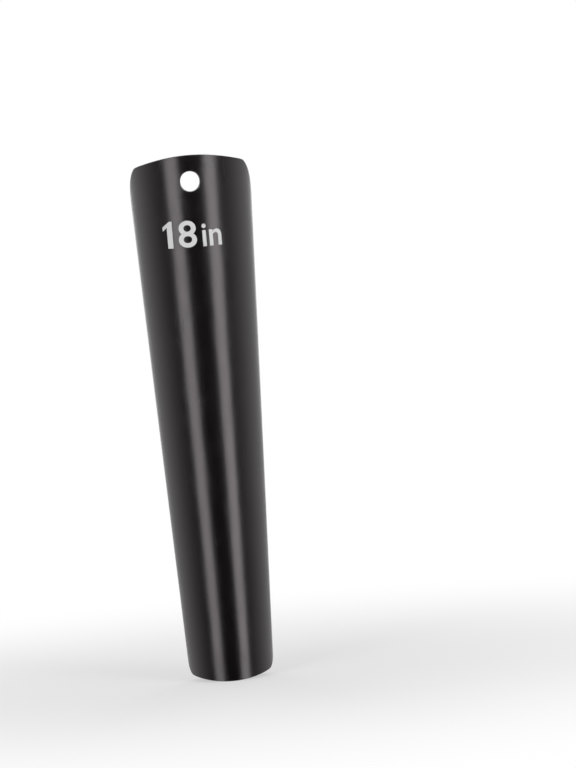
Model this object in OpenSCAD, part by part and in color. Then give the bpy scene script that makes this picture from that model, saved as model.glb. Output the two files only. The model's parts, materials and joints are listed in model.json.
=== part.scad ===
// Spring-loaded boot shaper: two like half shells on one pin hinge, pushed apart by a double torsion spring.
// X runs across the shaper, the front shell bulges towards -Y, and +Z is up from its lowest point.
// The model is drawn at rest, with the shells fully open against their stops.

/* [Shell] */
// Length of a shell, from the foot of its lower edge to the top of its crown
shell_length = 457; // [360:1:500]
// Outer bend radius of a shell at its top
top_radius = 54.6; // [48:0.1:62]
// Outer bend radius of a shell at its foot
bottom_radius = 38.2; // [36:0.1:44]
// Distance from the parting plane to the centre of the bend
bend_offset = 11; // [8:0.1:13]
// Wall of a shell
wall = 2; // [1.6:0.1:2.6]
// Gap between the long edges of the two shells when they are squeezed shut
edge_gap = 1; // [0.6:0.1:2]
// Radius of the crown of the top edge, seen from the front
top_crown = 130; // [110:1:260]
// Radius of the top corners, seen from the side
top_corner = 41; // [20:0.5:41]
// Radius of the crown of the lower edge, seen from the front
foot_crown = 120; // [90:1:200]
// Radius of the lower corners, seen from the side
foot_corner = 13; // [8:0.5:15]
// Angle that each shell leans outwards at rest
open_angle = 3.5; // [2:0.1:5]

/* [Hanging hole] */
// Radius of the hole at the top of each shell
hole_radius = 9; // [6:0.1:12]
// Distance from the top of the crown down to the middle of the hole
hole_drop = 22.5; // [18:0.1:30]

/* [Hinge] */
// Height of the hinge axis above the foot of a shell
hinge_height = 15; // [14:0.1:20]
// Radius of the hinge pin
pin_radius = 2; // [1.6:0.1:2.4]
// Clearance all round the pin in the lugs, washers and spools
pin_clearance = 0.05; // [0.02:0.01:0.1]
// Radius of the eye at the end of each lug
lug_radius = 6.5; // [5.8:0.1:8]
// Thickness of each lug
lug_width = 3.5; // [2.5:0.1:4.5]
// How far the root of a lug reaches up the shell above the axis
lug_rise = 24; // [16:1:32]
// How far the root of a lug reaches down the shell below the axis
lug_fall = 9; // [7:0.5:11]
// Side play at each face along the pin
side_play = 0.15; // [0.1:0.01:0.25]
// Thickness of the washers between the lugs
washer_width = 0.8; // [0.5:0.1:1.5]
// Radius of the washers
washer_radius = 5.4; // [4.5:0.1:6]
// Radius of the pin's head and cap
head_radius = 3.9; // [3.2:0.1:5]
// Thickness of the pin's head
head_width = 1.8; // [1.2:0.1:2.6]
// Height of the straight rim round the domed heads of the pin and the screws
head_rim = 0.5; // [0.3:0.1:0.8]
// Length of the cap on the pin's other end
cap_width = 3.2; // [2.4:0.1:4.5]
// Thickness of the cap's closed end
cap_end = 1; // [0.8:0.1:1.2]

/* [Opening stop] */
// How far the heel of each outer lug reaches past the axis
heel_reach = 13; // [11:0.1:14]
// Height of the heel's bearing face above the axis
heel_rise = 3; // [2:0.1:4]
// Thickness of the heel at its tip
heel_tip = 4.5; // [3:0.1:5.5]
// Distance from the axis to the near end of the shelf that stops the heel
shelf_start = 8; // [7.8:0.1:9]
// Thickness of the shelf at its near end
shelf_tip = 2.4; // [1.8:0.1:4]
// Thickness of the shelf at the shell
shelf_root = 10; // [6:0.5:14]
// Gap between heel and shelf at rest
stop_gap = 0.15; // [0.1:0.01:0.3]

/* [Spring] */
// Diameter of the spring wire
wire = 1.8; // [1.4:0.1:2]
// Mean radius of the coils
coil_radius = 5.2; // [4.8:0.1:5.8]
// Whole turns in each of the two coils
coil_turns = 4; // [3:1:5]
// Free gap between neighbouring turns
turn_gap = 0.45; // [0.42:0.01:0.6]
// Half the distance between the two uprights of the middle bow
bow_half = 3; // [2.6:0.1:4]
// Half the distance between the two legs where they pass under their keeper
leg_half = 4.4; // [3.6:0.1:4.6]
// Length of the bent foot at the end of each leg
leg_foot = 4; // [3:0.1:6]
// Inner bend radius of the feet of the legs
leg_bend = 1.6; // [1.2:0.1:2]
// Clearance between the coils and the barrel of the spool
spool_clearance = 0.35; // [0.3:0.01:0.5]
// Width of the flange at the outer end of each spool
flange_width = 1.2; // [1:0.1:2]
// Radius of that flange
flange_radius = 6.3; // [6:0.1:7]
// Gap between the two spools in the middle, and between coil and flange
spool_gap = 0.3; // [0.3:0.05:0.5]

/* [Spring keepers] */
// Height of the keepers above the hinge axis
keeper_rise = 69; // [50:1:110]
// Height of a keeper plate
keeper_height = 11; // [8:0.5:14]
// Thickness of a keeper plate
keeper_width = 1.6; // [1.2:0.1:2.4]
// Half the distance between the two screws of a keeper
screw_half = 9.5; // [9:0.1:12]
// How far the bosses stand off the shell's inner face
boss_stand = 4.4; // [4:0.1:6]
// Radius of the bosses
boss_radius = 3.2; // [2.8:0.1:3.6]
// Clearance on each side of the wire between pad and plate
wire_play = 0.15; // [0.1:0.01:0.3]
// Radius of the screws
screw_radius = 1.5; // [1.2:0.1:1.6]
// Length of the screws under the head
screw_length = 5; // [4:0.1:5.4]
// Radius of the screw heads
screw_head_radius = 2.8; // [2.4:0.1:3.2]
// Height of the screw heads
screw_head = 1.8; // [1.4:0.1:2.4]
// Width across the corners of the drive recess
drive_width = 2.6; // [2:0.1:3]
// Depth of the drive recess
drive_depth = 1; // [0.6:0.1:1.1]

/* [Hidden] */
$fn = 96;

// Extra length that lets a cutter pass right through what it cuts
past = 1;
// Rings on each turn of a coil, and sides of the spring's wire
turn_rings = 24;
wire_sides = 6;
// Steps along each small bend of the wire
bend_steps = 6;
// Width of each slot of the cross recess in a screw
drive_slot = 0.7;
// Distance that the corner arc of an edge starts above its crown, so that no step is left
corner_lead = 0.2;
// Depth by which the fittings reach into the shell's wall, and by which a lug's flanks reach into its eye
root_bite = wall / 2;
eye_bite = 0.2;

// The shell's bend at a height above its foot
function outer_radius(z) = bottom_radius + (top_radius - bottom_radius) * z / shell_length;
function inner_depth(z) = outer_radius(z) - wall - bend_offset;
function outer_depth(z) = outer_radius(z) - bend_offset;
// Half width of the shell's outer face at a height and a distance in front of the parting plane
function half_width(z, depth) = sqrt(pow(outer_radius(z), 2) - pow(bend_offset + depth, 2));
// Fall of a crown from its middle to a distance across
function crown_fall(radius, across) = radius - sqrt(radius * radius - across * across);

// The corner arcs, kept within the depth of the shell, and where they start in the side outline
top_arc = min(top_corner, outer_depth(shell_length) - edge_gap / 2 - wall);
foot_arc = min(foot_corner, outer_depth(0) - edge_gap / 2 - wall);
top_corner_front = edge_gap / 2 + top_arc;
foot_corner_front = edge_gap / 2 + foot_arc;
top_corner_fall = crown_fall(top_crown, half_width(shell_length, top_corner_front)) - corner_lead;
foot_corner_fall = crown_fall(foot_crown, half_width(0, foot_corner_front)) - corner_lead;

// Height of the hinge axis above the lowest point at rest
hinge_z = hinge_height * cos(open_angle) + outer_depth(0) * sin(open_angle);

// The spring's path is worked out round the hinge axis
coil_pitch = wire + turn_gap;
keeper_z = hinge_height + keeper_rise;
boss_face = inner_depth(keeper_z) - boss_stand;
wire_line = boss_face + wire / 2 + wire_play;
pad_face = boss_face + wire + 2 * wire_play;
bend_point = [-wire_line, keeper_rise - keeper_height / 2 - wire];
tangent_angle = atan2(bend_point.y, bend_point.x) + acos(coil_radius / norm(bend_point));
front_angle = tangent_angle + open_angle;
coil_sweep = 360 * coil_turns + 540 - 2 * front_angle;
coil_inner_x = bow_half;
coil_outer_x = coil_inner_x + coil_pitch * coil_sweep / 360;

// Places along the pin, from the middle outwards
flange_in = coil_outer_x + wire / 2 + spool_gap;
bay_half = flange_in + flange_width;
inner_lug = bay_half + side_play;
washer_in = inner_lug + lug_width + side_play;
outer_lug = washer_in + washer_width + side_play;
pin_end = outer_lug + lug_width + side_play;

// Carries a shell's own upright drawing to the front shell's place at rest
module at_front() {
    translate([0, 0, hinge_z])
        rotate([open_angle, 0, 0])
            translate([0, 0, -hinge_height])
                children();
}

module at_rear() {
    rotate([0, 0, 180])
        at_front()
            children();
}

// A solid cone round the bend's centre line, with its radius cut back by inset
module bend_cone(inset, extra) {
    translate([0, bend_offset, -extra])
        cylinder(
            h = shell_length + 2 * extra,
            r1 = outer_radius(-extra) - inset,
            r2 = outer_radius(shell_length + extra) - inset
        );
}

// A flat outline in the plane across the pin, extruded from x to x + width
module across_pin(x, width) {
    translate([x, 0, 0])
        rotate([90, 0, 90])
            linear_extrude(width)
                children();
}

// Crowned upper and lower edges, seen from the front
module front_outline() {
    reach = top_radius + past;
    intersection() {
        union() {
            translate([0, shell_length - top_crown])
                circle(r = top_crown);
            translate([-reach, 0])
                square([2 * reach, shell_length - top_crown]);
        }
        union() {
            translate([0, foot_crown])
                circle(r = foot_crown);
            translate([-reach, foot_crown])
                square([2 * reach, shell_length - foot_crown]);
        }
        translate([-reach, -past])
            square([2 * reach, shell_length + 2 * past]);
    }
}

// Straight long edge with its two round corners, seen from the side
module side_outline() {
    top_z = shell_length - top_arc - top_corner_fall;
    foot_z = foot_arc + foot_corner_fall;
    reach = top_radius + past;
    translate([-reach, foot_z])
        square([reach - edge_gap / 2, top_z - foot_z]);
    translate([-reach, -past])
        square([reach - foot_corner_front, foot_z + 2 * past]);
    translate([-reach, top_z - past])
        square([reach - top_corner_front, shell_length - top_z + 2 * past]);
    translate([-top_corner_front, top_z])
        circle(r = top_arc);
    translate([-foot_corner_front, foot_z])
        circle(r = foot_arc);
}

module bent_panel() {
    intersection() {
        difference() {
            bend_cone(0, 0);
            bend_cone(wall, past);
        }
        rotate([90, 0, 0])
            translate([0, 0, -past])
                linear_extrude(top_radius + 2 * past)
                    front_outline();
        across_pin(-top_radius - past, 2 * (top_radius + past))
            side_outline();
    }
}

// Where a line from p runs into the eye of a lug, just inside its rim, on the side given by turn
function eye_point(p, turn) =
    let (radius = lug_radius - eye_bite, a = atan2(p.y, p.x) + turn * acos(radius / norm(p)))
        [radius * cos(a), radius * sin(a)];

// A lug's outline round the hinge axis, from its root in the shell's wall to its eye
module lug_outline() {
    root_y = -outer_depth(hinge_height);
    root_top = [root_y, lug_rise];
    root_foot = [root_y, -lug_fall];
    circle(r = lug_radius);
    polygon([
        root_top,
        eye_point(root_top, -1),
        [0, 0],
        eye_point(root_foot, 1),
        root_foot
    ]);
}

// The heel and its shelf are drawn as they stand at rest, so that their faces meet flat
module heel_outline() {
    heel_tip_foot = [heel_reach, heel_rise - heel_tip];
    rotate(-open_angle)
        polygon([
            [0, heel_rise],
            [heel_reach, heel_rise],
            heel_tip_foot,
            eye_point(heel_tip_foot, -1),
            [0, 0]
        ]);
}

module shelf_outline() {
    shelf_foot = heel_rise + stop_gap;
    root_y = outer_depth(hinge_height);
    rotate(-open_angle)
        mirror([1, 0])
            polygon([
                [shelf_start, shelf_foot],
                [root_y, shelf_foot],
                [root_y, shelf_foot + shelf_root],
                [shelf_start, shelf_foot + shelf_tip]
            ]);
}

// Lugs, stop and spring seat, cut off inside the shell's wall
module shell_fittings() {
    intersection() {
        bend_cone(root_bite, 0);
        union() {
            translate([0, 0, hinge_height]) {
                across_pin(outer_lug, lug_width) {
                    lug_outline();
                    heel_outline();
                }
                across_pin(-inner_lug - lug_width, lug_width)
                    lug_outline();
                across_pin(-outer_lug - lug_width, lug_width)
                    shelf_outline();
            }
            spring_seat();
        }
    }
}

// Two screw bosses and the pad that the spring's wire lies on
module spring_seat() {
    seat_depth = outer_depth(keeper_z);
    for (side = [-1, 1])
        translate([side * screw_half, -boss_face, keeper_z])
            rotate([90, 0, 0])
                cylinder(h = seat_depth - boss_face, r = boss_radius);
    translate([-screw_half, -seat_depth, keeper_z - keeper_height / 2])
        cube([2 * screw_half, seat_depth - pad_face, keeper_height]);
}

module screw_pilots() {
    for (side = [-1, 1])
        translate([side * screw_half, keeper_width - boss_face, keeper_z])
            rotate([90, 0, 0])
                cylinder(h = screw_length + past / 2, r = screw_radius);
}

module shell() {
    difference() {
        union() {
            bent_panel();
            shell_fittings();
        }
        translate([0, past, shell_length - hole_drop])
            rotate([90, 0, 0])
                cylinder(h = top_radius + 2 * past, r = hole_radius);
        translate([-pin_end - past, 0, hinge_height])
            rotate([0, 90, 0])
                cylinder(h = 2 * (pin_end + past), r = pin_radius + pin_clearance);
        screw_pilots();
    }
}

module front_shell() {
    color("#1c1b1c")
        at_front()
            shell();
}

module rear_shell() {
    color("#242325")
        at_rear()
            shell();
}

// Turns children's Z axis along +X, on the hinge axis
module on_pin(x) {
    translate([x, 0, hinge_z])
        rotate([0, 90, 0])
            children();
}

// A domed head with its crown at the origin and its flat face up at its height
module domed_head(radius, height) {
    rise = height - head_rim;
    crown = (radius * radius + rise * rise) / (2 * rise);
    intersection() {
        cylinder(h = height, r = radius);
        translate([0, 0, crown])
            sphere(r = crown);
    }
}

module hinge_pin() {
    color("#b8babd")
        on_pin(0)
            union() {
                translate([0, 0, -pin_end])
                    cylinder(h = 2 * pin_end + cap_width - cap_end - pin_clearance, r = pin_radius);
                translate([0, 0, -pin_end - head_width])
                    domed_head(head_radius, head_width);
            }
}

module pin_cap() {
    color("#9c9ea2")
        on_pin(pin_end)
            difference() {
                cylinder(h = cap_width, r = head_radius);
                translate([0, 0, -past])
                    cylinder(h = cap_width - cap_end + past, r = pin_radius + pin_clearance);
            }
}

module ring(x, width, radius) {
    on_pin(x)
        difference() {
            cylinder(h = width, r = radius);
            translate([0, 0, -past])
                cylinder(h = width + 2 * past, r = pin_radius + pin_clearance);
        }
}

module hinge_washer_left() {
    color("#d9d6cd")
        ring(-washer_in - washer_width, washer_width, washer_radius);
}

module hinge_washer_right() {
    color("#d9d6cd")
        ring(washer_in, washer_width, washer_radius);
}

// A bush with a flange on its outer end, seen from the middle outwards
module spring_spool() {
    barrel_radius = coil_radius - wire / 2 - spool_clearance;
    difference() {
        union() {
            translate([0, 0, spool_gap / 2])
                cylinder(h = bay_half - spool_gap / 2, r = barrel_radius);
            translate([0, 0, flange_in])
                cylinder(h = flange_width, r = flange_radius);
        }
        translate([0, 0, -past])
            cylinder(h = bay_half + 2 * past, r = pin_radius + pin_clearance);
    }
}

module spring_spool_left() {
    color("#cfccc3")
        mirror([1, 0, 0])
            on_pin(0)
                spring_spool();
}

module spring_spool_right() {
    color("#cfccc3")
        on_pin(0)
            spring_spool();
}

// A point of a shell's own drawing, given across the pin round the axis, turned to its place at rest
function turned(x, p, angle) =
    [x, p.x * cos(angle) - p.y * sin(angle), p.x * sin(angle) + p.y * cos(angle)];
function front_point(x, p) = turned(x, p, open_angle);
function rear_point(x, p) = turned(x, [-p.x, p.y], -open_angle);

// A rounded corner at b between a and c, as points on a quadratic curve
function bend(a, b, c) = [
    for (i = [0 : bend_steps])
        let (t = i / bend_steps)
            (1 - t) * (1 - t) * a + 2 * t * (1 - t) * b + t * t * c
];
function toward(a, b, distance) = a + (b - a) * distance / norm(b - a);
function round_corner(a, b, c, size) = bend(toward(b, a, size), b, toward(b, c, size));

plate_top = keeper_rise + keeper_height / 2;
foot_line = plate_top + wire / 2 + side_play;
coil_leave_rear = [coil_radius * cos(180 - front_angle), coil_radius * sin(180 - front_angle)];
coil_leave_front = [coil_radius * cos(front_angle), coil_radius * sin(front_angle)];

// Half of the spring on the +X side: foot, leg, coil, upright and half of the bow
leg_start = [coil_outer_x, coil_leave_rear.x, coil_leave_rear.y];
leg_knee = rear_point(leg_half, bend_point);
leg_top = rear_point(leg_half, [-wire_line, foot_line]);
leg_end = rear_point(leg_half + leg_foot, [-wire_line, foot_line]);
bow_start = [coil_inner_x, coil_leave_front.x, coil_leave_front.y];
bow_knee = front_point(bow_half, bend_point);
bow_shoulder = front_point(bow_half, [-wire_line, plate_top]);

spring_half = concat(
    [leg_end],
    round_corner(leg_end, leg_top, leg_knee, leg_bend),
    round_corner(leg_top, leg_knee, leg_start, 2 * leg_bend),
    [
        for (i = [0 : round(coil_sweep / 360 * turn_rings)])
            let (
                share = i / round(coil_sweep / 360 * turn_rings),
                a = 180 - front_angle - coil_sweep * share
            )
                [
                    coil_outer_x + (coil_inner_x - coil_outer_x) * share,
                    coil_radius * cos(a),
                    coil_radius * sin(a)
                ]
    ],
    round_corner(bow_start, bow_knee, bow_shoulder, 2 * leg_bend),
    [
        for (i = [0 : bend_steps])
            let (a = 90 * i / bend_steps)
                front_point(bow_half * cos(a), [-wire_line, plate_top + bow_half * sin(a)])
    ]
);
half_count = len(spring_half);
spring_path = concat(
    spring_half,
    [for (i = [half_count - 2 : -1 : 0]) [-spring_half[i].x, spring_half[i].y, spring_half[i].z]]
);

// Least clear distance between stretches of the wire that aren't neighbours along it
function own_gap(path, apart) = min([
    for (i = [0 : len(path) - apart - 1])
        min([for (j = [i + apart : len(path) - 1]) norm(path[i] - path[j])])
]) - wire;
echo(spring_gap_to_itself = own_gap(spring_path, turn_rings / 2));

function unit(v) = v / norm(v);
function heading(path, i) =
    unit(path[min(i + 1, len(path) - 1)] - path[max(i - 1, 0)]);

// One tube along a path, of rings whose sides keep their direction from ring to ring
module swept_wire(path) {
    sides = [
        for (
            i = 0, side = unit(cross(heading(path, 0), [1, 2, 3]));
            i < len(path);
            i = i + 1,
            side = i < len(path) ? unit(side - (side * heading(path, i)) * heading(path, i)) : side
        )
            side
    ];
    points = [
        for (i = [0 : len(path) - 1])
            let (up = cross(heading(path, i), sides[i]))
                for (k = [0 : wire_sides - 1])
                    let (a = 360 * k / wire_sides)
                        path[i] + wire / 2 * (cos(a) * sides[i] + sin(a) * up)
    ];
    last = (len(path) - 1) * wire_sides;
    polyhedron(
        points = points,
        faces = concat(
            [for (k = [1 : wire_sides - 2]) [0, k, k + 1]],
            [for (k = [1 : wire_sides - 2]) [last, last + k + 1, last + k]],
            [
                for (i = [0 : len(path) - 2])
                    for (k = [0 : wire_sides - 1])
                        let (a = i * wire_sides + k, b = i * wire_sides + (k + 1) % wire_sides)
                            each [[a, a + wire_sides, b + wire_sides], [a, b + wire_sides, b]]
            ]
        )
    );
}

module torsion_spring() {
    color("#8d9095")
        translate([0, 0, hinge_z])
            swept_wire(spring_path);
}

// A plate with round ends over the two bosses of a shell
module spring_keeper() {
    translate([0, keeper_width - boss_face, keeper_z])
        rotate([90, 0, 0])
            linear_extrude(keeper_width)
                difference() {
                    union() {
                        for (side = [-1, 1])
                            translate([side * screw_half, 0])
                                circle(r = keeper_height / 2);
                        translate([-screw_half, -keeper_height / 2])
                            square([2 * screw_half, keeper_height]);
                    }
                    for (side = [-1, 1])
                        translate([side * screw_half, 0])
                            circle(r = screw_radius + pin_clearance);
                }
}

module spring_keeper_front() {
    color("#a9abae")
        at_front()
            spring_keeper();
}

module spring_keeper_rear() {
    color("#a9abae")
        at_rear()
            spring_keeper();
}

// A domed screw with a cross recess, driven towards the shell
module keeper_screw() {
    difference() {
        union() {
            cylinder(h = screw_length, r = screw_radius - pin_clearance);
            translate([0, 0, -screw_head])
                domed_head(screw_head_radius, screw_head);
        }
        for (turn = [0, 90])
            rotate([0, 0, turn])
                translate([-drive_width / 2, -drive_slot / 2, -screw_head - past])
                    cube([drive_width, drive_slot, drive_depth + past]);
    }
}

module keeper_screws() {
    for (side = [-1, 1])
        translate([side * screw_half, keeper_width - boss_face, keeper_z])
            rotate([90, 0, 0])
                keeper_screw();
}

module keeper_screws_front() {
    color("#c4c6c9")
        at_front()
            keeper_screws();
}

module keeper_screws_rear() {
    color("#c4c6c9")
        at_rear()
            keeper_screws();
}

front_shell();
rear_shell();
hinge_pin();
pin_cap();
hinge_washer_left();
hinge_washer_right();
spring_spool_left();
spring_spool_right();
torsion_spring();
spring_keeper_front();
spring_keeper_rear();
keeper_screws_front();
keeper_screws_rear();
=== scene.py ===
import json
from math import acos, atan2, cos, pi, radians, sin, sqrt

import bmesh
import bpy
from mathutils import Matrix, Vector


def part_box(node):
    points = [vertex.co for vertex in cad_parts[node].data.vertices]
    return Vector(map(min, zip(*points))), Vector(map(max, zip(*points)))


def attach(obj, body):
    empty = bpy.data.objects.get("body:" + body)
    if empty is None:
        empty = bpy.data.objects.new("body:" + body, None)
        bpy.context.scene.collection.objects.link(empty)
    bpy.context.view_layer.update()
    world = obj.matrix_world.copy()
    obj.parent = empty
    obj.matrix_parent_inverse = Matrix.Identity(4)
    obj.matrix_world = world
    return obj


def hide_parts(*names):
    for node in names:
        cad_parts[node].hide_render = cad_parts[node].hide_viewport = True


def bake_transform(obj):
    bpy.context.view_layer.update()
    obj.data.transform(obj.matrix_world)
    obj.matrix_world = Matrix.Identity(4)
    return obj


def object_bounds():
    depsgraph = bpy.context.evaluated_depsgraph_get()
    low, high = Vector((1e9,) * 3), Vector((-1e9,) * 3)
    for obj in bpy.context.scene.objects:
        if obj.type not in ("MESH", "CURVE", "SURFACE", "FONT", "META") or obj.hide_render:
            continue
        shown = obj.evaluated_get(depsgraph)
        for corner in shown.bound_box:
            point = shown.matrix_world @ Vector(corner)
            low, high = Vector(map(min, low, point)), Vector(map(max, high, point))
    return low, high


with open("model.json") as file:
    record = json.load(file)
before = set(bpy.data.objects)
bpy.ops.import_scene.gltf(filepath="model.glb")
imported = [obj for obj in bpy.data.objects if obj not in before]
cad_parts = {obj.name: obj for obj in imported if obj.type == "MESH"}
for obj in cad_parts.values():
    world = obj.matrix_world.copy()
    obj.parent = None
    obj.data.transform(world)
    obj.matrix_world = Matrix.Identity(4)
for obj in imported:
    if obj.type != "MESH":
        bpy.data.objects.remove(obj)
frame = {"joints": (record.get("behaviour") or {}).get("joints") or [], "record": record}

bpy.ops.object.select_all(action="DESELECT")
cad_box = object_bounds()


# The camera stands level with the two hanging holes, so that it sees right through both, and is
# turned and rolled until the shaper leans in the picture as it does in the photograph.
picture_width, picture_height = 576, 768
pixel_size = 0.00085
camera_distance = 3.5
hole_pixel = (189.8, 181.4)
lean_in_picture = radians(4.9)
sensor = 0.036
hole_place = Vector(frame["record"]["mounts"][0]["pos_m"])

focal_pixels = camera_distance / pixel_size
camera_data = bpy.data.cameras.new("camera")
camera_data.sensor_width = sensor * 1000
camera_data.lens = camera_data.sensor_width * focal_pixels / picture_height
camera = bpy.data.objects.new("camera", camera_data)
bpy.context.scene.collection.objects.link(camera)
bpy.context.scene.camera = camera


def axes(ahead, up):
    """Three unit axes as columns: ahead, the part of up across it, and their cross product."""
    ahead = ahead.normalized()
    up = (up - up.dot(ahead) * ahead).normalized()
    return Matrix((ahead, up, ahead.cross(up))).transposed()


seen_across = (hole_pixel[0] - picture_width / 2) / focal_pixels
seen_up = (picture_height / 2 - hole_pixel[1]) / focal_pixels
in_camera = axes(Vector((seen_across, seen_up, -1)), Vector((-sin(lean_in_picture), cos(lean_in_picture), 0)))
in_room = axes(Vector((0, 1, 0)), Vector((0, 0, 1)))
camera.matrix_world = Matrix.Translation(hole_place - Vector((0, camera_distance, 0))) @ (
    in_room @ in_camera.inverted()
).to_4x4()


# The room is white to the camera. What gloss mirrors is bright at the sides and dim straight in front of
# the object and straight behind it, as in a studio where black cards stand beside the camera.
class Value:
    """One output of a node. Sums and products of values add Math nodes, so a pattern reads as a formula."""

    def __init__(self, tree, socket):
        self.tree = tree
        self.socket = socket

    def node(self, kind, settings=None, inputs=None, output=0):
        """Adds any other node: its type, its settings, and its inputs by name or number."""
        made = self.tree.nodes.new(kind)
        for name, setting in (settings or {}).items():
            setattr(made, name, setting)
        for name, given in (inputs or {}).items():
            if isinstance(given, Value):
                self.tree.links.new(given.socket, made.inputs[name])
            else:
                made.inputs[name].default_value = given
        return Value(self.tree, made.outputs[output]) if made.outputs else None

    def math(self, operation, *values):
        return self.node("ShaderNodeMath", {"operation": operation}, dict(enumerate(values)))

    def __add__(self, other):
        return self.math("ADD", self, other)

    def __sub__(self, other):
        return self.math("SUBTRACT", self, other)

    def __rsub__(self, other):
        return self.math("SUBTRACT", other, self)

    def __mul__(self, other):
        return self.math("MULTIPLY", self, other)

    def __pow__(self, other):
        return self.math("POWER", self, other)

    __radd__ = __add__
    __rmul__ = __mul__

    def vector(self, operation, *values, output="Vector"):
        return self.node("ShaderNodeVectorMath", {"operation": operation}, dict(enumerate(values)), output)

    def between(self, low, high):
        """0 below low and 1 above high, with a smooth step from one to the other."""
        return self.node(
            "ShaderNodeMapRange",
            {"interpolation_type": "SMOOTHSTEP"},
            {"Value": self, "From Min": low, "From Max": high},
        )

    def mix(self, low, high):
        """The colour low where this value is 0, and high where it is 1."""
        return self.node("ShaderNodeMix", {"data_type": "RGBA"}, {0: self, 6: low, 7: high}, output=2)


def empty_tree(owner):
    """The emptied node tree of a material or the world, as a value that adds its nodes."""
    owner.use_nodes = True
    owner.node_tree.nodes.clear()
    return Value(owner.node_tree, None)


fill_light = 0.2
wall_start, wall_full, gap_start, gap_end = -0.95, 0.4, 0.8, 1.0
world = bpy.data.worlds.new("room")
bpy.context.scene.world = world
air = empty_tree(world)
direction = air.node("ShaderNodeTexCoord", output="Generated")
ahead = air.node("ShaderNodeSeparateXYZ", inputs={0: direction}, output="Y")
to_camera, to_gloss, through = (
    air.node("ShaderNodeLightPath", output=f"Is {way} Ray") for way in ("Camera", "Glossy", "Transmission")
)
side_wall = ahead.between(wall_start, wall_full) * (1 - ahead.between(gap_start, gap_end))
mirrored = to_gloss + through
room_light = to_camera + mirrored * side_wall + (1 - to_camera - mirrored) * fill_light
white_air = air.node("ShaderNodeBackground", inputs={"Color": (1, 1, 1, 1), "Strength": room_light})
air.node("ShaderNodeOutputWorld", inputs={"Surface": white_air})
bpy.context.scene.view_settings.view_transform = "Standard"


# Two tall soft boxes stand to the left and right of the camera and draw the two upright highlights, two
# weaker ones stand behind for the far side, and one hangs overhead and gives the soft shadow at the foot.
shaper_middle = (cad_box[0][2] + cad_box[1][2]) / 2
box_distance, box_width, box_length = 1.1, 0.43, 1.3
standing_boxes = (
    ("left", -31.5, 7.2),
    ("right", 37.5, 8),
    ("rear_left", -158, 3.4),
    ("rear_right", 158, 3.4),
)
top_distance, top_height, top_size, top_power = 0.2, 2.2, 1.6, 10


def soft_box(name, angle, distance, height, width, length, power):
    """An area light at an angle round the shaper from the camera's side, which faces the shaper."""
    data = bpy.data.lights.new(name, "AREA")
    data.shape = "RECTANGLE"
    data.size = width
    data.size_y = length
    data.energy = power
    box = bpy.data.objects.new(name, data)
    bpy.context.scene.collection.objects.link(box)
    place = Vector((distance * sin(angle), -distance * cos(angle), height))
    aim = Vector((0, 0, min(height, shaper_middle)))
    facing = (aim - place).to_track_quat("-Z", "Y").to_matrix().to_4x4()
    box.matrix_world = Matrix.Translation(place) @ facing


for name, angle, power in standing_boxes:
    soft_box("box_" + name, radians(angle), box_distance, shaper_middle, box_width, box_length, power)
soft_box("box_top", pi, top_distance, top_height, top_size, top_size, top_power)


# The floor is a round of pale paper. It keeps the soft shadow near the foot, turns into the white of the
# room further off, and isn't mirrored in the gloss of the shells.
floor_radius = 9
shadow_radius, white_radius = 0.10, 0.75
paper_grey, least_white = 0.88, 0.5
bpy.ops.mesh.primitive_circle_add(vertices=96, radius=floor_radius, fill_type="NGON")
floor = bpy.context.object
floor.name = "floor"
paper = bpy.data.materials.new("pale_floor")
floor.data.materials.append(paper)
tree = empty_tree(paper)
ground = tree.node("ShaderNodeTexCoord", output="Object")
from_foot = ground.vector("LENGTH", ground, output="Value")
to_camera = tree.node("ShaderNodeLightPath", output="Is Camera Ray")
to_gloss = tree.node("ShaderNodeLightPath", output="Is Glossy Ray")
matt = tree.node("ShaderNodeBsdfDiffuse", inputs={"Color": (paper_grey, paper_grey, paper_grey, 1)})
white = tree.node("ShaderNodeEmission", inputs={"Color": (1, 1, 1, 1), "Strength": 1.0})
clear = tree.node("ShaderNodeBsdfTransparent")
far_off = from_foot.between(shadow_radius, white_radius)
whiteness = to_camera * (least_white + (1 - least_white) * far_off)
near = tree.node("ShaderNodeMixShader", inputs={0: whiteness, 1: matt, 2: white})
seen = tree.node("ShaderNodeMixShader", inputs={0: to_gloss, 1: near, 2: clear})
tree.node("ShaderNodeOutputMaterial", inputs={"Surface": seen})
bpy.ops.object.select_all(action="DESELECT")


# Each half shell is one injection moulding in black plastic: a bent, tapered sheet of even wall with
# rounded edges, and on its inside the hinge lugs, half of the opening stop, two screw bosses and the
# pad that the spring lies on. It is drawn upright, with its foot at the origin, and then leaned outwards.
shell_length = 0.457
top_radius, bottom_radius = 0.0546, 0.0382
bend_offset = 0.011
wall = 0.002
edge_gap = 0.001
top_crown, top_corner = 0.130, 0.041
foot_crown, foot_corner = 0.120, 0.013
corner_lead, corner_round = 0.0002, 0.0065
rim_rise = wall * (top_radius - bottom_radius) / shell_length
hole_radius, hole_drop = 0.009, 0.0225
hinge_height = 0.015
hinge = Vector(frame["joints"][0]["pos_m"])
open_angle = radians(3.5)
edge_round = 0.0007


def bend_radius(h):
    return bottom_radius + (top_radius - bottom_radius) * h / shell_length


def depth(h):
    """How far the outer face stands in front of the parting plane."""
    return bend_radius(h) - bend_offset


def fall(radius, across):
    """How far an arc has fallen from its crown at a distance across."""
    return radius - sqrt(radius * radius - across * across)


def corner_place(h, arc, crown):
    """Middle of a corner arc, as its depth and its distance from the end. The arc just crosses the crown."""
    front = edge_gap / 2 + arc
    across = sqrt(bend_radius(h) ** 2 - (bend_offset + front) ** 2)
    return front, arc + fall(crown, across) - corner_lead


top_front, top_drop = corner_place(shell_length, top_corner, top_crown)
foot_front, foot_rise = corner_place(0, foot_corner, foot_crown)
top_z = shell_length - top_drop


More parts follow.
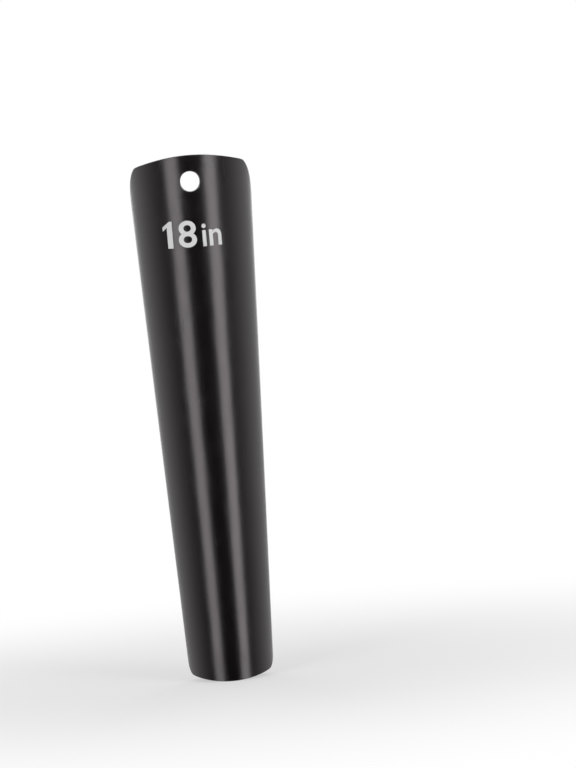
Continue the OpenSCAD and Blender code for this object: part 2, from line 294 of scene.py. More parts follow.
def side_angle(h):
    """Half the angle that the sheet spans at a height, up to its long edge or corner arc."""
    behind = edge_gap / 2
    if h > top_z:
        behind = top_front - sqrt(top_corner**2 - (h - top_z) ** 2)
    if h < foot_rise:
        behind = foot_front - sqrt(foot_corner**2 - (foot_rise - h) ** 2)
    return acos((bend_offset + behind) / bend_radius(h))


def top_crown_height(across, ahead):
    """The wall is square to the tapered face, so its inner edge stands higher by rim_rise."""
    return shell_length - rim_rise - fall(top_crown, across)


def top_corner_height(across, ahead):
    rise = sqrt(max(0, top_corner**2 - (top_front - ahead) ** 2))
    return top_z + rise if ahead < top_front else shell_length


def foot_crown_height(across, ahead):
    return fall(foot_crown, across)


def foot_corner_height(across, ahead):
    drop = sqrt(max(0, foot_corner**2 - (foot_front - ahead) ** 2))
    return foot_rise - drop if ahead < foot_front else 0


crossing_steps, average_steps, narrowing = 12, 4, 1.5


def crossing(angle, line):
    """Height at which the sheet crosses a line of its end at an angle round the bend, by repeated steps."""
    h = shell_length / 2
    for _ in range(crossing_steps):
        h = line(bend_radius(h) * sin(angle), bend_radius(h) * cos(angle) - bend_offset)
    return h


def end_height(angle, top):
    """Height of an end edge of the sheet. Crown and corner arcs are averaged, to round where they meet."""
    last_angle = top_angle if top else foot_angle
    reach = corner_round / bend_radius(shell_length if top else 0)
    window = min(reach, (last_angle - abs(angle)) / narrowing)
    total = 0
    for step in range(-average_steps, average_steps + 1):
        nearby = angle + step / average_steps * window
        if top:
            line = min(crossing(nearby, top_crown_height), crossing(nearby, top_corner_height))
        else:
            line = max(crossing(nearby, foot_crown_height), crossing(nearby, foot_corner_height))
        total += (average_steps + 1 - abs(step)) * line
    return total / (average_steps + 1) ** 2


columns, rows = 96, 150
crowding = 0.65
diagonal = sin(radians(45))
top_side, foot_side = top_z + top_corner * diagonal, foot_rise - foot_corner * diagonal
top_angle, foot_angle = side_angle(top_side), side_angle(foot_side)


def sheet_point(u, v):
    """Angle and height on the sheet, from four border curves that meet at the middles of the corner arcs."""
    # Rows of points lie closer together towards both ends
    v -= crowding * sin(2 * pi * v) / (2 * pi)
    side_height = foot_side + (top_side - foot_side) * v
    turn = 2 * u - 1
    on_foot = Vector((foot_angle * turn, end_height(foot_angle * turn, top=False)))
    on_top = Vector((top_angle * turn, end_height(top_angle * turn, top=True)))
    on_sides = Vector((side_angle(side_height) * turn, side_height))
    corners = Vector(((foot_angle * (1 - v) + top_angle * v) * turn, foot_side * (1 - v) + top_side * v))
    return on_foot * (1 - v) + on_top * v + on_sides - corners


def bent(angle, h):
    """The point of the outer face at an angle round the bend and a height."""
    return Vector((bend_radius(h) * sin(angle), bend_offset - bend_radius(h) * cos(angle), h))


def chosen(test, kind="faces"):
    """Leaves the faces or edges of the open edit mesh selected that pass a test."""
    bpy.ops.mesh.select_all(action="DESELECT")
    mesh = bmesh.from_edit_mesh(bpy.context.object.data)
    for part in getattr(mesh, kind):
        part.select_set(bool(test(part)))
    mesh.select_flush_mode()
    bmesh.update_edit_mesh(bpy.context.object.data)


def add_modifier(piece, kind, **settings):
    """Adds a modifier, sets it and applies it."""
    modifier = piece.modifiers.new(kind.lower(), kind)
    for name, value in settings.items():
        setattr(modifier, name, value)
    bpy.context.view_layer.objects.active = piece
    bpy.ops.object.modifier_apply(modifier=modifier.name)


def rounded(piece, width, segments=3, angle=40):
    """Rounds the edges of a piece that turn by more than an angle in degrees."""
    add_modifier(
        piece, "BEVEL", width=width, segments=segments, limit_method="ANGLE", angle_limit=radians(angle)
    )


bpy.ops.mesh.primitive_grid_add(x_subdivisions=columns, y_subdivisions=rows, size=1)
panel = bpy.context.object
for vertex in panel.data.vertices:
    vertex.co.xy = sheet_point(vertex.co.x + 0.5, vertex.co.y + 0.5)
    vertex.co.x *= top_radius

# The hole: a square of the grid is cut out, and its rim is drawn in to a circle in four steps
hole_height = shell_length - hole_drop
hole_margin, rim_reach, rim_above = 0.0048, 2, 1.3
hole_square = hole_radius + hole_margin
hole_steps = (0.30, 0.56, 0.80, 1.0)
hole_middle = Vector((0, hole_height))
middle_line = [panel.data.vertices[row * (columns + 1) + columns // 2].co.y for row in range(rows + 1)]
column_width = 2 * side_angle(hole_height) * top_radius / columns


def in_square(face):
    """Whether a face of the grid lies in the square round the hole, going by its row and column."""
    row, column = divmod(face.index, columns)
    beside = abs(column + 0.5 - columns / 2) * column_width
    above = (middle_line[row] + middle_line[row + 1]) / 2 - hole_height
    return max(beside, abs(above)) < hole_square


def on_square(edge):
    """Whether an edge lies on the rim of the cut square, and not on the top edge of the sheet."""
    return edge.is_boundary and all(
        (vertex.co.xy - hole_middle).length < rim_reach * hole_square
        and vertex.co.y < hole_height + rim_above * hole_square
        for vertex in edge.verts
    )


bpy.ops.object.mode_set(mode="EDIT")
bpy.context.tool_settings.mesh_select_mode = (False, False, True)
chosen(in_square)
bpy.ops.mesh.delete(type="FACE")
bpy.context.tool_settings.mesh_select_mode = (False, True, False)
chosen(on_square, "edges")
last_step = 0
for step in hole_steps:
    bpy.ops.mesh.extrude_edges_move()
    mesh = bmesh.from_edit_mesh(panel.data)
    for vertex in mesh.verts:
        if vertex.select:
            away = vertex.co.xy - hole_middle
            share = (step - last_step) / (1 - last_step)
            vertex.co.xy += share * (away.normalized() * hole_radius - away)
    bmesh.update_edit_mesh(panel.data)
    last_step = step
bpy.ops.object.mode_set(mode="OBJECT")
for vertex in panel.data.vertices:
    vertex.co = bent(vertex.co.x / top_radius, vertex.co.y)

add_modifier(panel, "SOLIDIFY", thickness=wall, offset=-1, use_even_offset=True)
# The long edges are flat beside the parting plane, where the two shells come close when squeezed shut
for vertex in panel.data.vertices:
    vertex.co.y = min(vertex.co.y, -edge_gap / 2)
rounded(panel, edge_round, angle=50)


# The fittings inside a shell are flat plates across the pin, each with its edges rounded
pin_bore = 0.00205
lug_radius, lug_width = 0.0065, 0.0035
lug_rise, lug_fall = 0.024, 0.009
inner_lug, outer_lug = 0.015406, 0.020006
heel_reach, heel_rise, heel_tip = 0.013, 0.003, 0.0045
shelf_start, shelf_tip, shelf_root = 0.008, 0.0024, 0.010
stop_gap = 0.00015
plate_round = 0.0004
eye_steps = 40
root = Vector((-depth(hinge_height), 0))


def turned(point, angle):
    """A point across the pin, given as depth and height from its axis, turned about that axis."""
    x, y = point
    return Vector((x * cos(angle) - y * sin(angle), x * sin(angle) + y * cos(angle)))


def tangent_angle(point, side):
    """Angle round the eye at which a straight line from a point touches it."""
    return atan2(point[1], point[0]) + side * acos(lug_radius / Vector(point).length)


def eye_arc(start, end):
    """Points round the eye of a lug from one angle to another."""
    return [
        lug_radius * Vector((cos(a), sin(a)))
        for a in (start + (end - start) * i / eye_steps for i in range(eye_steps + 1))
    ]


def flat_face(corners):
    """One flat face with its corners at the given places."""
    bpy.ops.object.select_all(action="DESELECT")
    bpy.ops.mesh.primitive_circle_add(vertices=len(corners), radius=lug_radius, fill_type="NGON")
    made = bpy.context.object
    for vertex, corner in zip(made.data.vertices, corners):
        vertex.co = corner
    return made


def thicken(made, way):
    """Extrudes a flat piece along a way, and turns its faces outward."""
    bpy.context.view_layer.objects.active = made
    bpy.ops.object.mode_set(mode="EDIT")
    bpy.ops.mesh.select_all(action="SELECT")
    bpy.ops.mesh.extrude_region_move(TRANSFORM_OT_translate={"value": way})
    bpy.ops.mesh.select_all(action="SELECT")
    bpy.ops.mesh.normals_make_consistent(inside=False)
    bpy.ops.object.mode_set(mode="OBJECT")


def plate(outline, x, width):
    """A plate across the pin from x on. Its outline is given as depth and height from the hinge axis."""
    made = flat_face([(x, depth_in, rise + hinge_height) for depth_in, rise in outline])
    thicken(made, (width, 0, 0))
    rounded(made, plate_round, segments=2)
    return made


def rod(radius, length, middle, turn, sides=48):
    """A plain round rod, for a boss, a drill or a punch."""
    bpy.ops.object.select_all(action="DESELECT")
    bpy.ops.mesh.primitive_cylinder_add(
        vertices=sides, radius=radius, depth=length, location=middle, rotation=turn
    )
    return bpy.context.object


root_top, root_foot = root + Vector((0, lug_rise)), root + Vector((0, -lug_fall))
lug_start, lug_end = tangent_angle(root_foot, 1) - 2 * pi, tangent_angle(root_top, -1)
plain_lug = [root_foot, *eye_arc(lug_start, lug_end), root_top]
heel_foot = turned((heel_reach, heel_rise - heel_tip), -open_angle)
heel_top = turned((heel_reach, heel_rise), -open_angle)
heel_inner = turned((sqrt(lug_radius**2 - heel_rise**2), heel_rise), -open_angle)
heeled_lug = [
    root_foot,
    *eye_arc(lug_start, tangent_angle(heel_foot, -1)),
    heel_foot,
    heel_top,
    *eye_arc(atan2(heel_inner.y, heel_inner.x), lug_end),
    root_top,
]
shelf_face = heel_rise + stop_gap
shelf = [
    turned(point, -open_angle)
    for point in (
        (-shelf_start, shelf_face),
        (-shelf_start, shelf_face + shelf_tip),
        (root.x, shelf_face + shelf_root),
        (root.x, shelf_face),
    )
]
fittings = [
    plate(heeled_lug, outer_lug, lug_width),
    plate(plain_lug, -inner_lug - lug_width, lug_width),
    plate(shelf, -outer_lug - lug_width, lug_width),
]

# Two bosses for the keeper's screws, and the pad between them
keeper_rise, keeper_height, keeper_width = 0.069, 0.011, 0.0016
boss_stand, boss_radius, screw_half = 0.0044, 0.0032, 0.0095
wire, wire_play = 0.0018, 0.00015
keeper_h = hinge_height + keeper_rise
boss_face = bend_radius(keeper_h) - wall - bend_offset - boss_stand
seat_length = depth(keeper_h) - boss_face
along_depth = (radians(90), 0, 0)
for side in (-1, 1):
    middle = (side * screw_half, -boss_face - seat_length / 2, keeper_h)
    boss = rod(boss_radius, seat_length, middle, along_depth)
    rounded(boss, plate_round, segments=2)
    fittings.append(boss)
pad_face = boss_face + wire + 2 * wire_play
pad_outline = [
    (-pad_face, keeper_rise - keeper_height / 2),
    (-pad_face, keeper_rise + keeper_height / 2),
    (-depth(keeper_h), keeper_rise + keeper_height / 2),
    (-depth(keeper_h), keeper_rise - keeper_height / 2),
]
fittings.append(plate(pad_outline, -screw_half, 2 * screw_half))


def joined(pieces, name):
    """Several objects made one, at the origin."""
    bpy.ops.object.select_all(action="DESELECT")
    for piece in pieces:
        piece.select_set(True)
    bpy.context.view_layer.objects.active = pieces[0]
    bpy.ops.object.transform_apply(location=True, rotation=True, scale=True)
    if len(pieces) > 1:
        bpy.ops.object.join()
    bpy.ops.object.select_all(action="DESELECT")
    pieces[0].name = name
    return pieces[0]


def combine(piece, other, operation):
    """Adds, cuts or crosses one solid with another, which is then gone."""
    add_modifier(piece, "BOOLEAN", object=other, operation=operation, solver="MANIFOLD")
    bpy.data.objects.remove(other)


inside = joined(fittings, "fittings")
bpy.ops.mesh.primitive_cone_add(
    vertices=256,
    radius1=bend_radius(0) - wall / 2,
    radius2=bend_radius(shell_length) - wall / 2,
    depth=shell_length,
    location=(0, bend_offset, shell_length / 2),
)
combine(inside, joined([bpy.context.object], "core"), "INTERSECT")
pin_reach = 0.03
screw_radius, pilot_depth = 0.0015, 0.0055
pilot_sides, bore_sides = 32, 64
drills = [rod(pin_bore, 2 * pin_reach, (0, 0, hinge_height), (0, radians(90), 0), bore_sides)]
for side in (-1, 1):
    mouth = (side * screw_half, keeper_width - boss_face, keeper_h)
    drills.append(rod(screw_radius, 2 * pilot_depth, mouth, (radians(90), pi / pilot_sides, 0), pilot_sides))
combine(inside, joined(drills, "drills"), "DIFFERENCE")
combine(panel, inside, "UNION")


def copied(piece):
    """A second piece with a mesh of its own."""
    twin = piece.copy()
    twin.data = piece.data.copy()
    bpy.context.scene.collection.objects.link(twin)
    return twin


rear_panel = copied(panel)
rim_angle = radians(12)


def note_surface(piece, number):
    """Notes where each point lies on the flat sheet, and if it is on a rounded edge or the inner face."""
    count = len(piece.data.vertices)
    flat, rim, inner = [], [0.0] * count, []
    for vertex in piece.data.vertices:
        across, ahead, h = vertex.co.x, bend_offset - vertex.co.y, vertex.co.z
        flat += [atan2(across, ahead) * bend_radius(h), h, number]
        inner.append(1.0 if sqrt(across**2 + ahead**2) < bend_radius(h) - wall / 2 else 0.0)
    mesh = bmesh.new()
    mesh.from_mesh(piece.data)
    for edge in mesh.edges:
        if edge.calc_face_angle_signed(0) > rim_angle:
            rim[edge.verts[0].index] = rim[edge.verts[1].index] = 1.0
    mesh.free()
    piece.data.attributes.new("flat", "FLOAT_VECTOR", "POINT").data.foreach_set("vector", flat)
    piece.data.attributes.new("rim", "FLOAT", "POINT").data.foreach_set("value", rim)
    piece.data.attributes.new("inner", "FLOAT", "POINT").data.foreach_set("value", inner)


def noise(tree, place, scale, detail=3, rough=0.5):
    return tree.node(
        "ShaderNodeTexNoise", inputs={"Vector": place, "Scale": scale, "Detail": detail, "Roughness": rough}
    )


def stretched(tree, place, scale):
    return tree.node("ShaderNodeMapping", inputs={"Vector": place, "Scale": scale})


def raised(tree, height, distance, under=None):
    """A Bump node, in which height from 0 to 1 stands for a real distance in metres."""
    inputs = {"Height": height, "Distance": distance, "Strength": 1.0}
    if under:
        inputs["Normal"] = under
    return tree.node("ShaderNodeBump", inputs=inputs)


def principled(tree, **values):
    """The one shader of a material, with its sockets given by name, and the material's output."""
    inputs = {name.replace("_", " "): value for name, value in values.items()}
    shade = tree.node("ShaderNodeBsdfPrincipled", inputs=inputs)
    tree.node("ShaderNodeOutputMaterial", inputs={"Surface": shade})


smooth_angle, broad_face_weight = radians(35), 80


def dress(piece, material, name, body=None, node=None):
    """Smooths a finished piece, gives it its material and body, and hides the CAD node that it takes the
    place of.
    """
    piece.name = name
    bpy.ops.object.select_all(action="DESELECT")
    piece.select_set(True)
    bpy.context.view_layer.objects.active = piece
    bpy.ops.object.shade_smooth_by_angle(angle=smooth_angle)
    add_modifier(piece, "WEIGHTED_NORMAL", keep_sharp=True, weight=broad_face_weight)
    bpy.ops.object.select_all(action="DESELECT")
    piece.data.materials.clear()
    piece.data.materials.append(material)
    if body:
        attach(piece, body)
    if node:
        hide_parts(node)


# Satin black plastic: a fine spark-eroded grain, long marks from being slid in and out, thumb smears and
# a rubbed, slightly paler rim. The inner face is duller and shows the round marks of the ejector pins.
black, rubbed_black = (0.0050, 0.0044, 0.0046, 1), (0.034, 0.032, 0.033, 1)
ejector_radius, ejector_pitch, ejector_across, ejector_edge = 0.004, 0.078, 0.021, 0.0002
scuff_stretch, smear_stretch = (520, 14, 3), (90, 38, 7)
drift_height, ejector_height, grain_height = 0.0005, 0.00012, 0.000018
plastic = bpy.data.materials.new("satin_black_plastic")
tree = empty_tree(plastic)
place = tree.node("ShaderNodeTexCoord", output="Object")
flat = tree.node("ShaderNodeAttribute", {"attribute_name": "flat"}, output="Vector")
rim = tree.node("ShaderNodeAttribute", {"attribute_name": "rim"}, output="Fac")
inner = tree.node("ShaderNodeAttribute", {"attribute_name": "inner"}, output="Fac")
scuffs = noise(tree, stretched(tree, flat, scuff_stretch), 1.0, 4, 0.6).between(0.60, 0.74)
patches = noise(tree, flat, 30, 4, 0.6).between(0.42, 0.64)
smears = noise(tree, stretched(tree, flat, smear_stretch), 1.0, 3, 0.7).between(0.35, 0.75)
worn = rim * (0.35 + 0.65 * noise(tree, place, 210, 3).between(0.35, 0.65))
grain = noise(tree, place, 2600, 2)
drift = noise(tree, flat, 16, 1)
across = tree.node("ShaderNodeSeparateXYZ", inputs={0: flat}, output="X")
along = tree.node("ShaderNodeSeparateXYZ", inputs={0: flat}, output="Y")
off_across = across.math("ABSOLUTE", across) - ejector_across
off_along = along.math("PINGPONG", along, ejector_pitch / 2) - ejector_pitch / 4
from_pin = (off_across * off_across + off_along * off_along) ** 0.5
ejector = inner * (1 - from_pin.between(ejector_radius - ejector_edge, ejector_radius + ejector_edge))
relief = raised(tree, drift, drift_height)
relief = raised(tree, ejector, ejector_height, relief)
relief = raised(tree, grain, grain_height, relief)
principled(
    tree,
    Base_Color=(0.55 * worn + 0.10 * scuffs * patches + 0.05 * smears).mix(black, rubbed_black),
    Roughness=0.215 + 0.05 * smears + 0.10 * scuffs * patches + 0.08 * worn + 0.10 * inner,
    Metallic=0,
    IOR=1.52,
    Specular_Tint=(1.0, 0.93, 0.955, 1),
    Normal=relief,
)
# The number of the moulding is a third coordinate, so that each of the two has scuffs of its own
for number, piece in enumerate((panel, rear_panel)):
    note_surface(piece, number)
lean = Matrix.Rotation(open_angle, 4, "X") @ Matrix.Translation((0, 0, -hinge_height))
outward = Matrix.Translation(hinge) @ lean
turned_round = Matrix.Rotation(pi, 4, "Z") @ outward
panel.data.transform(outward)
rear_panel.data.transform(turned_round)
dress(panel, plastic, "front_half_shell", "front_half", "front_shell")
dress(rear_panel, plastic, "rear_half_shell", "rear_half", "rear_shell")


# The headed pin runs through all four lugs. It is bright drawn steel with a domed head at one end, and
# a cap pressed from the same steel is pushed on at the other end and keeps it in.
pin_radius, head_rim, pin_chamfer, head_edge = 0.002, 0.0005, 0.0004, 0.00012
cap_end, cap_edge = 0.001, 0.0007
dome_steps, on_axis, same_place = 10, 1e-7, 1e-6
pin_low, pin_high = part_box("hinge_pin")
cap_low, cap_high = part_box("pin_cap")
head_radius = (pin_high[2] - pin_low[2]) / 2
head_seat = -cap_low[0]


def turned_part(outline, steps=72):
    """A part turned about the X axis, from a closed run of places along the axis and their radii."""
    bpy.ops.object.select_all(action="DESELECT")
    bpy.ops.mesh.primitive_circle_add(vertices=len(outline), radius=pin_radius)
    part = bpy.context.object
    for vertex, (x, radius) in zip(part.data.vertices, outline):
        vertex.co = (x, 0, radius)
    bpy.ops.object.mode_set(mode="EDIT")
    bpy.context.tool_settings.mesh_select_mode = (False, True, False)
    chosen(lambda edge: max(vertex.co.z for vertex in edge.verts) < on_axis, "edges")
    bpy.ops.mesh.delete(type="EDGE")
    bpy.ops.mesh.select_all(action="SELECT")
    bpy.ops.mesh.spin(steps=steps, angle=2 * pi, center=(0, 0, 0), axis=(1, 0, 0))
    bpy.ops.mesh.select_all(action="SELECT")
    bpy.ops.mesh.remove_doubles(threshold=same_place)
    bpy.ops.mesh.normals_make_consistent(inside=False)
    bpy.ops.object.mode_set(mode="OBJECT")
    return part


def dome(top, rim_place, radius):
    """Points from the crown of a domed head to its rim, along the pin's axis."""
    rise = abs(rim_place - top)
    crown = (radius**2 + rise**2) / (2 * rise)
    way = 1 if rim_place > top else -1
    widest = atan2(radius, crown - rise)
    return [
        (top + way * crown * (1 - cos(a)), crown * sin(a))
        for a in (widest * i / dome_steps for i in range(dome_steps + 1))
    ]


line_height, dark_share = 0.000012, 0.62


def fine_steel(name, tint, dull, lay, film):
    """Steel with the fine lines of its making along lay, and smears of a film that dulls and darkens it."""
    material = bpy.data.materials.new(name)
    tree = empty_tree(material)
    place = tree.node("ShaderNodeTexCoord", output="Object")
    lines = noise(tree, stretched(tree, place, lay), 1.0, 3, 0.6)
    smears = noise(tree, place, 420, 3, 0.6).between(0.35, 0.7)
    dark = tuple(dark_share * part for part in tint)
    principled(
        tree,
        Base_Color=(smears * 0.5 * film + 0.25 * lines).mix((*tint, 1), (*dark, 1)),
        Roughness=dull + 0.12 * lines + film * 0.15 * smears,
        Metallic=1.0,
        Normal=raised(tree, lines, line_height),
    )
    return material


bright_steel = fine_steel(
    "bright_drawn_steel", (0.62, 0.63, 0.64), dull=0.20, lay=(60, 2600, 2600), film=0.35
)
pin = turned_part(
    [
        *dome(pin_low[0], head_seat - head_rim, head_radius),
        (head_seat, head_radius),
        (head_seat, pin_radius),
        (pin_high[0] - pin_chamfer, pin_radius),
        (pin_high[0], pin_radius - pin_chamfer),
        (pin_high[0], 0),
    ]
)
cap = turned_part(
    [
        (cap_low[0], pin_bore),
        (cap_low[0], head_radius),
        (cap_high[0], head_radius),
        (cap_high[0], 0),
        (cap_high[0] - cap_end, 0),
        (cap_high[0] - cap_end, pin_bore),
    ]
)
for part, edge, name, node in (
    (pin, head_edge, "headed_pin", "hinge_pin"),
    (cap, cap_edge, "push_on_cap", "pin_cap"),
):
    rounded(part, edge)
    part.data.transform(Matrix.Translation(hinge))
    dress(part, bright_steel, name, "front_half", node)


# Two washers keep the lugs of the two shells apart, and two flanged bushes carry the coils on the pin. All
# four are turned from natural nylon, which is slightly cloudy and takes a faint stain from the oiled wire.
barrel_radius, flange_width, flange_edge = 0.00395, 0.0012, 0.00025
pale_nylon, stained_nylon = (0.80, 0.78, 0.72, 1), (0.56, 0.53, 0.46, 1)
turning_stretch, turning_height = (5200, 260, 260), 0.00002
nylon = bpy.data.materials.new("natural_nylon")
tree = empty_tree(nylon)
place = tree.node("ShaderNodeTexCoord", output="Object")
cloud = noise(tree, place, 260, 3).between(0.3, 0.7)
stain = noise(tree, place, 620, 4, 0.65).between(0.58, 0.78)
turning = noise(tree, stretched(tree, place, turning_stretch), 1.0, 2)
principled(
    tree,
    Base_Color=(0.35 * cloud + 0.5 * stain).mix(pale_nylon, stained_nylon),
    Roughness=0.36 + 0.12 * cloud + 0.1 * turning,
    Metallic=0,
    IOR=1.53,
    Subsurface_Weight=0.12,
    Subsurface_Scale=0.0015,
    Normal=raised(tree, turning, turning_height),
)


def reach_on_pin(node):
    """Distances of a part's near and far face from the middle of the pin, and its radius."""
    low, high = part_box(node)
    return *sorted((abs(low[0]), abs(high[0]))), (high[2] - low[2]) / 2


for turn, word in ((pi, "left"), (0, "right")):
    near, far, rim_radius = reach_on_pin("hinge_washer_" + word)
    washer = turned_part([(near, pin_bore), (near, rim_radius), (far, rim_radius), (far, pin_bore)])
    near, far, rim_radius = reach_on_pin("spring_spool_" + word)
    flange = far - flange_width
    spool = turned_part(
        [
            (near, pin_bore),
            (near, barrel_radius),
            (flange, barrel_radius),
            (flange, rim_radius),
            (far, rim_radius),
            (far, pin_bore),
        ]
    )
    for part, name, node in ((washer, "washer_", "hinge_washer_"), (spool, "spool_", "spring_spool_")):
        rounded(part, flange_edge)
        part.data.transform(Matrix.Translation(hinge) @ Matrix.Rotation(turn, 4, "Z"))
        dress(part, nylon, name + word, "front_half", node + word)


# One double torsion spring, wound from a single length of oiled spring wire. From its middle bow on the
# front shell it goes down into two coils round the spools, and up again in two legs on the rear shell.
coil_radius, coil_turns, turn_gap = 0.0052, 4, 0.00045
bow_half, leg_half, leg_foot, leg_bend = 0.003, 0.0044, 0.004, 0.0016
side_play = 0.00015
turn_rings, bend_steps, round_steps = 64, 14, 5

coil_pitch = wire + turn_gap
wire_line = boss_face + wire / 2 + wire_play
bend_point = Vector((-wire_line, keeper_rise - keeper_height / 2 - wire))
front_angle = atan2(bend_point.y, bend_point.x) + acos(coil_radius / bend_point.length) + open_angle
coil_sweep = 2 * pi * coil_turns + 3 * pi - 2 * front_angle
coil_outer = bow_half + coil_pitch * coil_sweep / (2 * pi)
plate_top = keeper_rise + keeper_height / 2
foot_line = plate_top + wire / 2 + side_play


def on_front(x, point):
    """A point of the front shell's upright drawing, at its place at rest round the hinge axis."""
    return Vector((x, *turned(point, open_angle)))


def on_rear(x, point):
    """The same point of the rear shell."""
    return Vector((x, *turned((-point[0], point[1]), -open_angle)))


def round_corner(before, corner, after, size):
    """A rounded corner of the wire, as points on a quadratic curve."""
    start = corner + (before - corner).normalized() * size
    end = corner + (after - corner).normalized() * size
    steps = (i / bend_steps for i in range(bend_steps + 1))
    return [(1 - t) ** 2 * start + 2 * t * (1 - t) * corner + t**2 * end for t in steps]


def on_coil(x, angle):
    return Vector((x, coil_radius * cos(angle), coil_radius * sin(angle)))


leg_start = on_coil(coil_outer, pi - front_angle)
leg_knee = on_rear(leg_half, bend_point)
leg_top = on_rear(leg_half, (-wire_line, foot_line))
leg_end = on_rear(leg_half + leg_foot, (-wire_line, foot_line))
bow_start = on_coil(bow_half, front_angle)
bow_knee = on_front(bow_half, bend_point)
bow_shoulder = on_front(bow_half, (-wire_line, plate_top))
coil_rings = round(coil_sweep / (2 * pi) * turn_rings)
half_wire = [
    leg_end,
    *round_corner(leg_end, leg_top, leg_knee, leg_bend),
    *round_corner(leg_top, leg_knee, leg_start, 2 * leg_bend),
]
for ring in range(coil_rings + 1):
    share = ring / coil_rings
    x = coil_outer + (bow_half - coil_outer) * share
    half_wire.append(on_coil(x, pi - front_angle - coil_sweep * share))
half_wire += round_corner(bow_start, bow_knee, bow_shoulder, 2 * leg_bend)
for step in range(bend_steps + 1):
    angle = pi / 2 * step / bend_steps
    half_wire.append(on_front(bow_half * cos(angle), (-wire_line, plate_top + bow_half * sin(angle))))
wire_path = half_wire + [Vector((-p.x, p.y, p.z)) for p in reversed(half_wire[:-1])]

wound = bpy.data.curves.new("wound_wire", "CURVE")
wound.dimensions = "3D"
wound.bevel_depth = wire / 2
wound.bevel_resolution = round_steps
wound.use_fill_caps = True
spline = wound.splines.new("POLY")
spline.points.add(len(wire_path) - 1)
for point, place in zip(spline.points, wire_path):
    point.co = (*(place + hinge), 1)
spring = bpy.data.objects.new("wound_spring", wound)
bpy.context.scene.collection.objects.link(spring)
spring.select_set(True)
bpy.context.view_layer.objects.active = spring
bpy.ops.object.convert(target="MESH")
bpy.ops.object.mode_set(mode="EDIT")
bpy.ops.mesh.select_all(action="SELECT")
bpy.ops.mesh.remove_doubles(threshold=same_place)
bpy.ops.mesh.normals_make_consistent(inside=False)
bpy.ops.object.mode_set(mode="OBJECT")
spring = bpy.context.object
oiled_steel = fine_steel(
    "oiled_spring_steel", (0.40, 0.41, 0.43), dull=0.24, lay=(900, 900, 900), film=1.0
)
dress(spring, oiled_steel, "wound_spring", node="torsion_spring")
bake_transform(spring)


# A keeper is a zinc-plated plate with round ends, pressed from sheet. It lies over the wire on the two
# bosses of its shell, held by two domed cross-recess screws that cut their own thread in the plastic.
screw_play = 0.00005
screw_length, screw_head, screw_head_radius = 0.005, 0.0018, 0.0028
drive_width, drive_depth, drive_slot, drive_foot = 0.0026, 0.001, 0.0007, 0.0012
keeper_edge, end_steps = 0.0003, 24
screw_sides, screw_turn = 48, radians(27)
zinc_plate = fine_steel(
    "zinc_plated_sheet", (0.58, 0.59, 0.60), dull=0.30, lay=(90, 1500, 1500), film=0.8
)
zinc_screw = fine_steel(
    "zinc_plated_screw", (0.66, 0.66, 0.67), dull=0.26, lay=(700, 700, 700), film=0.6
)
half_height = keeper_height / 2
keeper_outline = [
    (side * screw_half + half_height * sin(side * angle), -boss_face, keeper_h + half_height * cos(angle))
    for side in (1, -1)
    for angle in (pi * (i if side > 0 else end_steps - i) / end_steps for i in range(end_steps + 1))
]
keeper = flat_face(keeper_outline)
thicken(keeper, (0, keeper_width, 0))
punches = [
    rod(screw_radius + screw_play, 4 * keeper_width, (side * screw_half, -boss_face, keeper_h), along_depth)
    for side in (-1, 1)
]
combine(keeper, joined(punches, "punches"), "DIFFERENCE")
rounded(keeper, keeper_edge, angle=50)

shank = screw_radius - screw_play
screw = turned_part(
    [
        *dome(-screw_head, -head_rim, screw_head_radius),
        (0, screw_head_radius),
        (0, shank),
        (screw_length - shank / 2, shank),
        (screw_length, shank / 2),
        (screw_length, 0),
    ],
    screw_sides,
)
rounded(screw, head_edge)
for turn in (0, radians(90)):
    bpy.ops.object.select_all(action="DESELECT")
    bpy.ops.mesh.primitive_cube_add(size=1, location=(-screw_head, 0, 0), rotation=(turn, 0, 0))
    groove = bpy.context.object
    for vertex in groove.data.vertices:
        width = drive_width if vertex.co.x < 0 else drive_foot
        vertex.co = (vertex.co.x * 2 * drive_depth, vertex.co.y * width, vertex.co.z * drive_slot)
    combine(screw, joined([groove], "groove"), "DIFFERENCE")
pair = []
for side in (-1, 1):
    driven = copied(screw)
    seat = Matrix.Translation((side * screw_half, keeper_width - boss_face, keeper_h))
    inward = Matrix.Rotation(side * screw_turn, 4, "Y") @ Matrix.Rotation(radians(-90), 4, "Z")
    driven.data.transform(seat @ inward)
    pair.append(driven)
bpy.data.objects.remove(screw)
screws = joined(pair, "screws")
for word, at_rest in (("front", outward), ("rear", turned_round)):
    for made, material, name, slot, node in (
        (keeper, zinc_plate, "keeper_plate_", "keeper_steel", "spring_keeper_"),
        (screws, zinc_screw, "domed_screws_", "screw_steel", "keeper_screws_"),
    ):
        fixed = copied(made)
        fixed.data.transform(at_rest)
        dress(fixed, material, name + word, word + "_half", node + word)
bpy.data.objects.remove(keeper)
bpy.data.objects.remove(screws)


# The size mark is pad-printed on the front shell in light grey ink: the length in inches, in plain bold
# figures. Each run of figures is made at its real height and width and then laid round the bend.
mark_top, mark_middle = 0.0556, -0.0021
figure_height, one_width, eight_width, eight_start = 0.0230, 0.0089, 0.0156, 0.0142
one_outline = ((0.72, 1), (0, 0.80), (0, 0.64), (0.45, 0.78), (0.45, 0), (1, 0), (1, 1))
unit_height, unit_width = 0.0193, 0.0170
mark_width, ink_lift, ink_depth, ink_strip = 0.0515, 0.000012, 0.00004, 0.0012
figure_weight, curve_steps = 0.013, 9
pale_ink, thin_ink, ink_grain = (0.60, 0.60, 0.60, 1), (0.30, 0.30, 0.30, 1), 0.000008


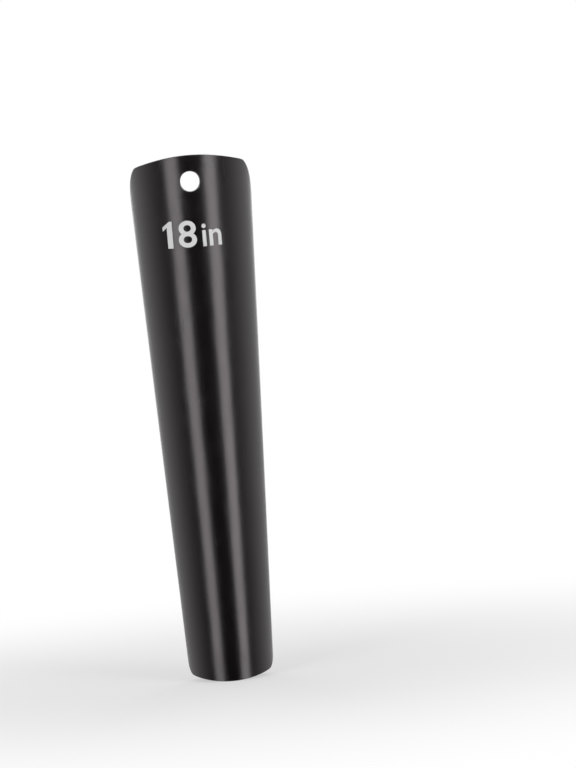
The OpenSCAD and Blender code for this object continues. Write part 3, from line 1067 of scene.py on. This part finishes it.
def printed(run, left, height, width):
    """Sets a flat run of figures on the sheet: its left edge, and its height and width over all."""
    low = Vector(min(v.co[i] for v in run.data.vertices) for i in range(2))
    high = Vector(max(v.co[i] for v in run.data.vertices) for i in range(2))
    base = shell_length - mark_top - figure_height
    for vertex in run.data.vertices:
        vertex.co.x = left + (vertex.co.x - low.x) / (high.x - low.x) * width
        vertex.co.y = base + (vertex.co.y - low.y) / (high.y - low.y) * height
        vertex.co.z = 0
    return run


def lettered(text):
    """Letters in Blender's own plain font, made a little heavier, as a flat mesh."""
    bpy.ops.object.select_all(action="DESELECT")
    bpy.ops.object.text_add()
    run = bpy.context.object
    run.data.body = text
    run.data.offset = figure_weight
    run.data.resolution_u = curve_steps
    bpy.ops.object.convert(target="MESH")
    return bpy.context.object


mark_left = mark_middle - mark_width / 2
mark = joined(
    [
        printed(flat_face([(x, y, 0) for x, y in one_outline]), mark_left, figure_height, one_width),
        printed(lettered("8"), mark_left + eight_start, figure_height, eight_width),
        printed(lettered("in"), mark_left + mark_width - unit_width, unit_height, unit_width),
    ],
    "size_mark",
)
bpy.ops.object.select_all(action="DESELECT")
mark.select_set(True)
bpy.context.view_layer.objects.active = mark
bpy.ops.object.mode_set(mode="EDIT")
for cut in range(1, int(mark_width / ink_strip)):
    bpy.ops.mesh.select_all(action="SELECT")
    bpy.ops.mesh.bisect(plane_co=(mark_left + cut * ink_strip, 0, 0), plane_no=(1, 0, 0))
bpy.ops.object.mode_set(mode="OBJECT")
thicken(mark, (0, 0, ink_depth))
for vertex in mark.data.vertices:
    h, lift = vertex.co.y, ink_lift + vertex.co.z
    angle = vertex.co.x / bend_radius(h)
    vertex.co = bent(angle, h) + Vector((lift * sin(angle), -lift * cos(angle), 0))
mark.data.transform(outward)
ink = bpy.data.materials.new("pad_printed_ink")
tree = empty_tree(ink)
place = tree.node("ShaderNodeTexCoord", output="Object")
thin = noise(tree, place, 420, 4, 0.6).between(0.55, 0.8)
speck = noise(tree, place, 1900, 2).between(0.70, 0.78)
principled(
    tree,
    Base_Color=(0.22 * thin + 0.5 * speck).mix(pale_ink, thin_ink),
    Roughness=0.48 + 0.12 * thin,
    Metallic=0,
    Normal=raised(tree, noise(tree, place, 2400, 2), ink_grain),
)
dress(mark, ink, "size_mark", "front_half")
